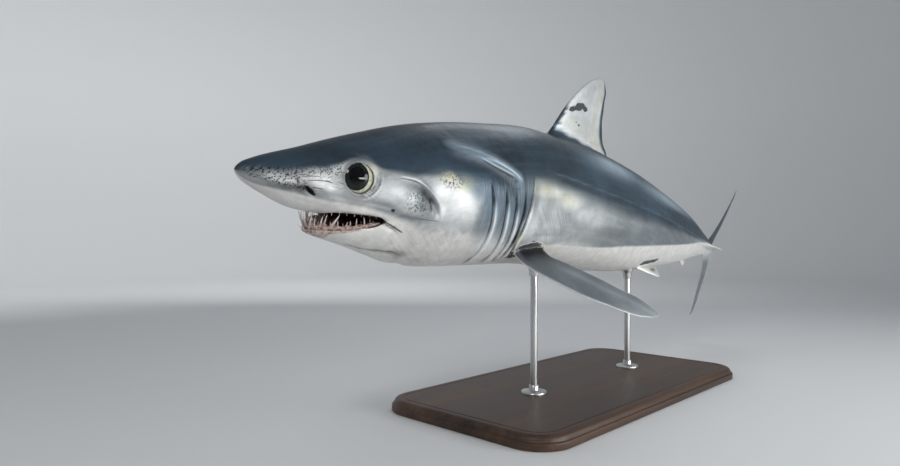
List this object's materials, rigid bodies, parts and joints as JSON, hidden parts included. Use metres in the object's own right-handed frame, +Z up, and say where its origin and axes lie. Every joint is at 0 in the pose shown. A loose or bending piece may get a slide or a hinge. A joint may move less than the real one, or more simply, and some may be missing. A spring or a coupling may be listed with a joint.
{
  "type": "shortfin mako shark model",
  "caption": "Life-size still model of a young shortfin mako shark, mouth open, banked as it swims, held up by rods on a flat display base.",
  "frame": {"origin": "bottom centre of the bounding box, on the floor under the stand", "axes": "+X towards the tail, so the snout points to -X; -Y towards the shark's left side; +Z up. The body is banked about 12 degrees to its left and its head is about 4 degrees up."},
  "size_m": [1.608, 0.485, 0.6003],
  "materials": {
    "skin": "satin wet skin, slate blue back, silver flank, white belly",
    "eye": "glossy black",
    "tooth": "glossy ivory",
    "mouth": "wet pink gum, dark towards the throat",
    "stand_wood": "dark stained, satin varnish",
    "stand_steel": "brushed"
  },
  "bodies": {
    "root": {"head": "skin", "lower_jaw": "skin", "gill_region": "skin", "trunk_front": "skin", "trunk_middle": "skin", "trunk_rear": "skin", "tail": "skin", "tail_stem": "skin", "first_dorsal_fin": "skin", "second_dorsal_fin": "skin", "anal_fin": "skin", "upper_tail_lobe": "skin", "lower_tail_lobe": "skin", "pectoral_fin_left": "skin", "pectoral_fin_right": "skin", "pelvic_fin_left": "skin", "pelvic_fin_right": "skin", "eye_left": "eye", "eye_right": "eye", "stand_base": "stand_wood", "stand_rod_front": "stand_steel", "stand_rod_rear": "stand_steel"}
  },
  "joints": []
}
